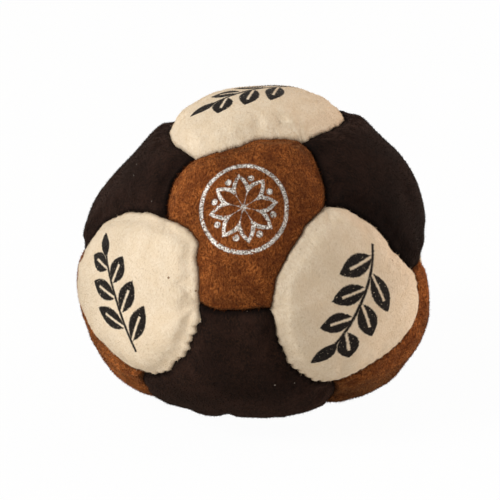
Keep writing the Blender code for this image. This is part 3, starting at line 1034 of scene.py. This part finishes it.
# %% The recipe for suede
def suede(name, look, printed=None):
    """A napped suede. look holds its colours and shares; printed is ink, silver or None."""
    made = empty_material(name)
    tree = made.node_tree
    add = partial(add_node, tree)
    flat = add("Attribute", attribute_name="flat").outputs["Vector"]
    gap, own_shade, tone = [add("Attribute", attribute_name=mark).outputs["Fac"]
                            for mark in ("gap", "shade", "tone")]
    up_streak, down_streak = nap_streaks(tree, flat, look)
    level, blur = look["streak_level"], look["streak_blur"]
    lit = add("MapRange", {"Value": up_streak, "From Min": level - blur,
                           "From Max": level + blur, "To Max": look["lit_share"]})
    deep = add("MapRange", {"Value": down_streak, "From Min": 1 - level + blur,
                            "From Max": 1 - level - blur, "To Max": look["deep_share"]})

    # Cloudy patches, and painted shade: the folds along the seams are painted darker.
    cloud = add("TexNoise", {"Vector": flat, "Scale": 0.35, "Detail": 4.0, "Roughness": 0.65})
    cloudy = add("MapRange",
                 {"Value": cloud, "From Min": 0.42, "From Max": 0.60, "To Max": look["cloud_share"]})
    painted_fold_shade = add("MapRange", {"Value": gap, "From Min": 0.1, "From Max": look["painted_shade_reach"],
                               "To Min": look["painted_shade_share"], "To Max": 0.0},
                  interpolation_type="SMOOTHSTEP")

    # Specks: bits of lint and dust caught in the nap, one in every few millimetres.
    dust = add("TexVoronoi", {"Vector": flat, "Scale": look["speck_rate"]})
    size = add("SeparateColor", [dust.outputs["Color"]])
    near_dust = add("Math MULTIPLY", [size, look["speck_size"]])
    speck = add("Math LESS_THAN", [dust.outputs["Distance"], near_dust])

    colour = linear(look["middle"])
    for share, over in ((lit, "lit"), (deep, "deep"), (cloudy, "cloud"), (painted_fold_shade, "fold"),
                        (speck, "speck")):
        colour = add("Mix", {0: share, 6: colour, 7: linear(look[over])}, data_type="RGBA").outputs[2]
    shader = add("BsdfPrincipled",
                 {"Roughness": 0.95, "Specular IOR Level": 0.1, "Sheen Weight": look["sheen"],
                  "Sheen Roughness": 0.45, "Sheen Tint": linear(look["sheen_tint"])})
    if printed == "ink":
        colour = with_ink(tree, flat, lit, colour, shader)
    if printed == "silver":
        colour = with_silver(tree, flat, colour, shader)

    # A loose fibre is a little lighter or darker than the suede that it grows from.
    toned = add("Math MULTIPLY_ADD", [own_shade, look["fibre_tone"], 1.0])
    # Broad patches where the nap was last brushed the other way.
    brush = add("TexNoise", {"Vector": flat, "Scale": 0.1, "Detail": 1.0})
    brushed = add("MapRange", {"Value": brush, "From Min": 0.40, "From Max": 0.60,
                               "To Min": 1 - look["brushed_share"],
                               "To Max": 1 + look["brushed_share"]})
    # The tone mark is painted light and shade: it lightens or darkens each panel where light falls.
    brushed_and_painted_light = add("Math MULTIPLY", [brushed, tone])
    both_tones = add("Math MULTIPLY", [toned, brushed_and_painted_light])
    shaded = add("VectorMath SCALE", {0: colour, "Scale": both_tones})
    tree.links.new(shaded.outputs[0], shader.inputs["Base Color"])

    relief = add("Math ADD", [up_streak, down_streak])
    bump = add("Bump", {"Height": relief, "Strength": look["relief"], "Distance": 0.12 * MM})
    tree.links.new(bump.outputs[0], shader.inputs["Normal"])
    add("OutputMaterial", {"Surface": shader})
    return made


# %% Cream, brown and black-brown suede
# In each look, the fold colour is painted shade, mixed in within about a millimetre of a seam.
CREAM_LOOK = {
    "middle": "#e6d4ba", "lit": "#f4e7d2", "lit_share": 0.5, "deep": "#c2aa88", "deep_share": 0.35,
    "cloud": "#dcc6a6", "cloud_share": 0.4, "fold": "#a98f72", "painted_shade_share": 0.3, "painted_shade_reach": 0.5,
    "speck": "#8f7458", "speck_rate": 0.22, "speck_size": 0.05, "sheen": 0.04, "sheen_tint": "#fff4e0",
    "fibre_tone": 0.12, "relief": 0.6, "streak_level": 0.6, "streak_blur": 0.08, "brushed_share": 0.03,
    "streak_size": 1.0,
}
BROWN_LOOK = {
    "middle": "#80451d", "lit": "#b16b36", "lit_share": 0.75, "deep": "#47210f", "deep_share": 0.8,
    "cloud": "#542610", "cloud_share": 0.65, "fold": "#3a1c0c", "painted_shade_share": 0.6, "painted_shade_reach": 0.6,
    "speck": "#c79a66", "speck_rate": 0.3, "speck_size": 0.035, "sheen": 0.18, "sheen_tint": "#ffcc88",
    "fibre_tone": 0.9, "relief": 1.2, "streak_level": 0.57, "streak_blur": 0.045, "brushed_share": 0.1,
    "streak_size": 1.15,
}
BLACK_LOOK = {
    "middle": "#1a100c", "lit": "#362319", "lit_share": 0.6, "deep": "#0c0706", "deep_share": 0.6,
    "cloud": "#2c1c16", "cloud_share": 0.6, "fold": "#0b0605", "painted_shade_share": 0.7, "painted_shade_reach": 0.9,
    "speck": "#a39a90", "speck_rate": 0.34, "speck_size": 0.045, "sheen": 0.05, "sheen_tint": "#d08a5c",
    "fibre_tone": 0.35, "relief": 0.8, "streak_level": 0.57, "streak_blur": 0.08, "brushed_share": 0.25,
    "streak_size": 1.2,
}
finishes = {
    "cream": suede("cream suede with black ink", CREAM_LOOK, printed="ink"),
    "brown": suede("brown suede", BROWN_LOOK),
    "black": suede("black-brown suede", BLACK_LOOK),
    "silver": suede("brown suede with silver transfer", BROWN_LOOK, printed="silver"),
}
for name, made in suede_panels.items():
    finish = "silver" if name == "brown_panel_upper_front" else name.split("_")[0]
    made.data.materials.append(finishes[finish])
print("suedes:", [finish.name for finish in finishes.values()])

# %% [markdown]
# Fibres that stand up
#
# Along its edges and against the light, suede shows single fibres. A hair system would draw them, but
# hair isn't exported with a model. Geometry Nodes scatter short three-sided spikes instead: points
# are spread over the skin, each gets a spike turned to the surface's normal with some lean, and the
# leans follow a slow noise, so that the nap lies in soft swirls. Each spike keeps the marks of the
# place where it stands, so it takes the colour of the suede or of the print under it.

# %% A tree that plants a nap
NAP_WIDTH = 0.07 * MM
STRAY_SHARE = 0.12


def node_group(name, inputs):
    """An empty Geometry Nodes tree with a geometry in and out, and named inputs."""
    tree = bpy.data.node_groups.new(name, "GeometryNodeTree")
    tree.interface.new_socket("Geometry", in_out="INPUT", socket_type="NodeSocketGeometry")
    tree.interface.new_socket("Geometry", in_out="OUTPUT", socket_type="NodeSocketGeometry")
    for label, kind in inputs.items():
        tree.interface.new_socket(label, in_out="INPUT", socket_type="NodeSocket" + kind)
    return tree


def nap_tree():
    """Spikes over every face whose fuzz mark is 1, with a thicker and longer growth at the seams."""
    tree = node_group("nap", {"Fibres per square mm": "Float", "Fibre length": "Float", "Lean": "Float",
                              "Extra at seams": "Float", "Seed": "Int", "Suede": "Material"})
    add = partial(add_node, tree)
    given = add("NodeGroupInput")
    fuzz = add("GeometryNodeInputNamedAttribute", {"Name": "fuzz"}, data_type="FLOAT")
    gap = add("GeometryNodeInputNamedAttribute", {"Name": "gap"}, data_type="FLOAT")
    place = add("GeometryNodeInputPosition")
    height = add("SeparateXYZ", [place]).outputs[2]
    off_floor = add("MapRange",
                    {"Value": height, "From Min": 0.7 * MM, "From Max": 1.6 * MM}).outputs[0]
    at_seam = add("MapRange", {"Value": gap, "From Min": 1.1, "From Max": 0.3})
    thicker = add("Math MULTIPLY_ADD", [at_seam, given.outputs["Extra at seams"], 1.0])
    on_skin = add("Math MULTIPLY", [fuzz, off_floor])
    dense = add("Math MULTIPLY", [on_skin, thicker])
    per_metre = add("Math MULTIPLY", [given.outputs["Fibres per square mm"], 1e6])
    rate = add("Math MULTIPLY", [dense, per_metre])
    spread = add("GeometryNodeDistributePointsOnFaces",
                 {"Mesh": given.outputs["Geometry"], "Density": rate,
                  "Seed": given.outputs["Seed"]}, distribute_method="RANDOM")
    swirl = add("TexNoise", {"Vector": place, "Scale": 220.0, "Detail": 1.0})
    swirled = add("VectorMath SUBTRACT", [swirl.outputs["Color"], (0.5, 0.5, 0.5)])
    own = add("FunctionNodeRandomValue", {0: (-0.5, -0.5, -0.5), 1: (0.5, 0.5, 0.5), "Seed": 5},
              data_type="FLOAT_VECTOR")
    both = add("VectorMath MULTIPLY_ADD", [swirled, (3.0, 3.0, 3.0), own])
    leaning = add("VectorMath SCALE", {0: both, "Scale": given.outputs["Lean"]})
    toward = add("VectorMath ADD", [spread.outputs["Normal"], leaning])
    turn = add("FunctionNodeAlignRotationToVector", {"Vector": toward}, axis="Z")
    size = add("FunctionNodeRandomValue", {2: 0.5, 3: 1.4, "Seed": 7}, data_type="FLOAT")
    stray = add("FunctionNodeRandomValue", {"Probability": STRAY_SHARE, "Seed": 8}, data_type="BOOLEAN")
    at_seam_too = add("Math MULTIPLY_ADD", [at_seam, 1.0, 0.4])
    strayed = add("Math MULTIPLY", [stray.outputs[3], at_seam_too])
    longer = add("Math ADD", [strayed, 1.0])
    grown = add("Math MULTIPLY", [size.outputs[1], longer])
    tall = add("Math MULTIPLY", [grown, given.outputs["Fibre length"]])
    scale = add("CombineXYZ", [NAP_WIDTH, NAP_WIDTH, tall])
    spike = add("GeometryNodeMeshCone",
                {"Vertices": 3, "Radius Top": 0.0, "Radius Bottom": 0.5, "Depth": 1.0})
    planted = add("GeometryNodeInstanceOnPoints",
                  {"Points": spread.outputs["Points"], "Instance": spike.outputs["Mesh"],
                   "Rotation": turn, "Scale": scale})
    tone = add("FunctionNodeRandomValue", {2: -1.0, 3: 1.0, "Seed": 9}, data_type="FLOAT")
    marked = add("GeometryNodeStoreNamedAttribute",
                 {"Geometry": planted, "Name": "shade", "Value": tone.outputs[1]},
                 data_type="FLOAT", domain="INSTANCE")
    real = add("GeometryNodeRealizeInstances", [marked])
    dyed = add("GeometryNodeSetMaterial", {0: real, "Material": given.outputs["Suede"]})
    add("NodeGroupOutput", [dyed])
    return tree


# %% Turn what a tree grows into a plain mesh
def baked(carrier, tree, values, name):
    """Run a tree on an object with these inputs, and keep the result as a plain mesh of its own."""
    modifier = carrier.modifiers.new(tree.name, "NODES")
    modifier.node_group = tree
    for socket in tree.interface.items_tree:
        if socket.in_out == "INPUT" and socket.name in values:
            modifier[socket.identifier] = values[socket.name]
    graph = bpy.context.evaluated_depsgraph_get()
    mesh = bpy.data.meshes.new_from_object(carrier.evaluated_get(graph))
    mesh.name = name
    carrier.modifiers.clear()
    bpy.data.objects.remove(carrier)
    return linked(name, mesh)


# %% Grow the nap of each colour
NAPS = {}
for seed, (look, density, length, lean, extra) in enumerate((("cream", 9.0, 0.17, 1.1, 0.8),
                                                             ("brown", 14.0, 0.26, 1.4, 1.0),
                                                             ("black", 11.0, 0.20, 1.2, 1.2)), start=1):
    NAPS[look] = {"Fibres per square mm": density, "Fibre length": length * MM, "Lean": lean,
                  "Extra at seams": extra, "Seed": seed}
planting = nap_tree()
naps = {}
for look, values in NAPS.items():
    for name, made in suede_panels.items():
        if name.startswith(look):
            field = linked("field", made.data)
            values["Suede"] = made.data.materials[0]
            naps[name] = baked(field, planting, values, name.replace("panel", "nap"))
print("nap faces:", {name: len(made.data.polygons) for name, made in naps.items()})

# %% [markdown]
# The thread
#
# A footbag is sewn inside out with a waxed thread, over and under through both margins, about 1.7 mm
# a stitch. After turning, the thread lies hidden 2 mm under the seams. It could be left out, because
# nothing of it shows, but the model may be opened or cut. Each seam's line becomes a curve, and
# Geometry Nodes space points along it and push them to one side and the other in pairs.

# %% A tree that sews
THREAD_DEPTH = 2.0 * MM
THREAD_RADIUS = 0.15 * MM


def sewing_tree():
    """Stitches along a curve: two points on one side of the margins, two on the other."""
    tree = node_group("stitches", {"Stitch length": "Float", "Reach": "Float", "Thread radius": "Float",
                                   "Bag middle": "Vector", "Thread": "Material"})
    add = partial(add_node, tree)
    given = add("NodeGroupInput")
    half = add("Math MULTIPLY", [given.outputs["Stitch length"], 0.5])
    spaced = add("GeometryNodeResampleCurve", {"Curve": given.outputs["Geometry"], "Length": half},
                 mode="LENGTH")
    number = add("GeometryNodeInputIndex")
    turn = add("Math MULTIPLY_ADD", [number, math.pi / 2, math.pi / 4])
    wave = add("Math SINE", [turn])
    side = add("Math SIGN", [wave])
    push = add("Math MULTIPLY", [side, given.outputs["Reach"]])
    place = add("GeometryNodeInputPosition")
    outward = add("VectorMath SUBTRACT", [place, given.outputs["Bag middle"]])
    along = add("GeometryNodeInputTangent")
    across = add("VectorMath CROSS_PRODUCT", [along, outward])
    level = add("VectorMath NORMALIZE", [across])
    moved = add("VectorMath SCALE", {0: level, "Scale": push})
    pushed = add("GeometryNodeSetPosition", {"Geometry": spaced, "Offset": moved})
    rounded = add("GeometryNodeCurveSplineType", [pushed], spline_type="CATMULL_ROM")
    fine = add("GeometryNodeSetSplineResolution", {0: rounded, "Resolution": 3})
    ring = add("GeometryNodeCurvePrimitiveCircle",
               {"Resolution": 6, "Radius": given.outputs["Thread radius"]})
    tube = add("GeometryNodeCurveToMesh", {"Curve": fine, "Profile Curve": ring, "Fill Caps": True})
    real = add("GeometryNodeRealizeInstances", [tube])
    dyed = add("GeometryNodeSetMaterial", {0: real, "Material": given.outputs["Thread"]})
    add("NodeGroupOutput", [dyed])
    return tree


# %% Curves to sew along
def seam_curve(lines, closed):
    """A curve under a seam, at the depth of the stitches."""
    points = np.concatenate([on_bag(line, np.full(len(line), -THREAD_DEPTH)) for line in lines])
    points += BAG_MIDDLE
    path = bpy.data.curves.new("seam", "CURVE")
    path.dimensions = "3D"
    spline = path.splines.new("POLY")
    spline.points.add(len(points) - 1)
    for point, place in zip(spline.points, points):
        point.co = (*place, 1.0)
    spline.use_cyclic_u = closed
    return linked("seam", path)


# %% Thread material, and all the stitches
# Waxed polyester thread: two plies twisted, dark, with the slight gloss of wax. Each turn is 0.6 mm.
waxed = empty_material("waxed polyester thread")
add = partial(add_node, waxed.node_tree)
where = add("TexCoord").outputs["Object"]
plies = add("TexWave", {"Vector": where, "Scale": 500.0, "Distortion": 3.0}, bands_direction="DIAGONAL")
dark = add("Mix", {0: plies.outputs["Fac"], 6: linear("#1d1815"), 7: linear("#43372f")},
           data_type="RGBA")
ridged = add("Bump", {"Height": plies.outputs["Fac"], "Distance": 0.05 * MM})
gloss = add("BsdfPrincipled", {"Base Color": dark.outputs[2], "Roughness": 0.45, "Normal": ridged})
add("OutputMaterial", {"Surface": gloss})

sewing = sewing_tree()
stitch_values = {"Stitch length": STITCH_PITCH, "Reach": SUEDE_THICKNESS + THREAD_RADIUS,
                 "Thread radius": THREAD_RADIUS, "Bag middle": BAG_MIDDLE.tolist(), "Thread": waxed}
threads = {}
for cream in CREAM_FACINGS:
    loop = seam_curve([side[:-1] for side in cream_sides(cream)], True)
    threads["thread_round_" + cream] = baked(loop, sewing, stitch_values, "stitches_round_" + cream)
short_seams = [name.removeprefix("thread_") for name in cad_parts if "_to_" in name]
for seam in short_seams:
    first, second = seam.split("_to_")
    line = seam_curve([dark_seam(first, second)[2:-2]], False)
    threads["thread_" + seam] = baked(line, sewing, stitch_values, "stitches_" + seam)
print("threads:", len(threads), "faces:", sum(len(made.data.polygons) for made in threads.values()))

# %% [markdown]
# The sand
#
# The filling is dry fine sand, loose enough for the bag to slump. It is one closed lump that stays
# half a millimetre under the suede and leaves a trench for the turned-in margins. Modelling its
# millions of grains would serve nobody, so the lump is lofted from the panels' own rings, and its
# material draws the grains.

# %% Sand and its material
SAND_CLEARANCE = 0.5 * MM
TRENCH_DEPTH = 3.5 * MM
TRENCH_WIDTH = 1.6 * MM
SAND_RINGS = (0, 6, 12, 17, 21, 24)


def sand_rings(name):
    """The rings of sand under one panel, from its middle to the trench under its seams."""
    panel = lay[name]
    drop = SUEDE_THICKNESS + SAND_CLEARANCE
    rings = [panel["skin"][ring] - drop * panel["ways"][ring] for ring in SAND_RINGS]
    outline, inward = panel["outline"], panel["inward"]
    rings.append(on_bag(outline, np.full(len(outline), -2.2 * MM)) + 2.7 * MM * inward)
    rings.append(on_bag(outline, np.full(len(outline), -TRENCH_DEPTH)) + TRENCH_WIDTH * inward)
    rings.append(on_bag(outline, np.full(len(outline), -TRENCH_DEPTH)))
    return rings


sand_points = []
sand_faces = []
for name in panel_sides:
    rings = sand_rings(name)
    sand_faces += faces_between(len(sand_points), len(rings), len(rings[0]))
    sand_points.extend(np.concatenate(rings) + BAG_MIDDLE)
sand_mesh = bpy.data.meshes.new("sand")
sand_mesh.from_pydata([tuple(point) for point in sand_points], [], sand_faces)
lump = bmesh.new()
lump.from_mesh(sand_mesh)
bmesh.ops.remove_doubles(lump, verts=lump.verts, dist=0.002 * MM)
for point in lump.verts:
    point.co.z = max(point.co.z, SUEDE_THICKNESS + 0.1 * MM)
lump.to_mesh(sand_mesh)
open_edges = sum(not edge.is_manifold for edge in lump.edges)
lump.free()
sand_mesh.shade_smooth()
sand = linked("sand", sand_mesh)

# Quartz sand of about 0.4 mm: rounded grains from cream to brown, dull, each with its own tone.
grainy = empty_material("dry quartz sand")
add = partial(add_node, grainy.node_tree)
where = add("TexCoord").outputs["Object"]
grains = add("TexVoronoi", {"Vector": where, "Scale": 2500.0})
tone = add("SeparateColor", [grains.outputs["Color"]])
tan = add("Mix", {0: tone, 6: linear("#a58455"), 7: linear("#dcc79c")}, data_type="RGBA")
humps = add("Bump", {"Height": grains.outputs["Distance"], "Distance": 0.2 * MM}, invert=True)
dull = add("BsdfPrincipled", {"Base Color": tan.outputs[2], "Roughness": 0.85, "Normal": humps})
add("OutputMaterial", {"Surface": dull})
sand_mesh.materials.append(grainy)
print("sand faces:", len(sand_mesh.polygons), "open edges:", open_edges)

# %% [markdown]
# Floor and light
#
# The picture has a white ground and soft light. A sheet of white paper lies under the bag. Lighting
# the paper until it is white would bleach the cream suede too, so the paper and the world behind it
# only look white to the camera: Light Path's Is Camera Ray mixes a white glow into them. The key
# light is a broad softbox, high up, far to the left and a little in front. A weaker one fills in
# from the right.

# %% White paper floor
floor_mesh = bpy.data.meshes.new("floor")
floor_mesh.from_pydata([(-3, -3, 0), (3, -3, 0), (3, 3, 0), (-3, 3, 0)], [], [(0, 1, 2, 3)])
floor = linked("floor", floor_mesh)

paper_white = empty_material("white paper")
add = partial(add_node, paper_white.node_tree)
paper = add("BsdfDiffuse", {"Color": linear("#f4f4f2")})
glow = add("Emission", {"Color": (1, 1, 1, 1), "Strength": 1.0})
light_path = add("LightPath")
glow_share = add("Math MULTIPLY", [light_path.outputs["Is Camera Ray"], 0.97])
surface = add("MixShader", [glow_share, paper, glow])
add("OutputMaterial", {"Surface": surface})
floor_mesh.materials.append(paper_white)

# %% World and lamps
world = bpy.data.worlds.new("studio")
world.use_nodes = True
bpy.context.scene.world = world
world.node_tree.nodes.clear()
add = partial(add_node, world.node_tree)
room = add("Background", {"Color": linear("#fffaf4"), "Strength": 0.40})
behind = add("Background", {"Color": (1, 1, 1, 1), "Strength": 1.0})
light_path = add("LightPath")
straight = add("Math MAXIMUM",
               [light_path.outputs["Is Camera Ray"], light_path.outputs["Is Glossy Ray"]])
clear = add("Math MAXIMUM", [straight, light_path.outputs["Is Transmission Ray"]])
either = add("MixShader", [clear, room, behind])
add("OutputWorld", {"Surface": either})


def softbox(name, place, width, power, colour="#ffffff"):
    """A square lamp that faces the bag."""
    lamp = bpy.data.lights.new(name, "AREA")
    lamp.size = width
    lamp.energy = power
    lamp.color = linear(colour)[:3]
    made = linked(name, lamp)
    made.location = place
    made.rotation_euler = (Vector(BAG_MIDDLE) - Vector(place)).to_track_quat("-Z", "Y").to_euler()


softbox("key light", (-0.66, -0.34, 0.52), 0.30, 5.3)
softbox("fill light", (0.76, 0.20, 0.20), 0.4, 3.4, "#ffe8dc")

# %% [markdown]
# Attaching the pieces
#
# Each piece now rides on the bag's one body, and the CAD node of each suede panel, each thread and
# the sand is hidden.

# %% Attach every piece to the body and hide the CAD parts
for name, made in suede_panels.items():
    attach(made, "root")
    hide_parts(name)
    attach(naps[name], "root")
for name, made in threads.items():
    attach(made, "root")
    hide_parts(name)
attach(sand, "root")
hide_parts("sand_fill")
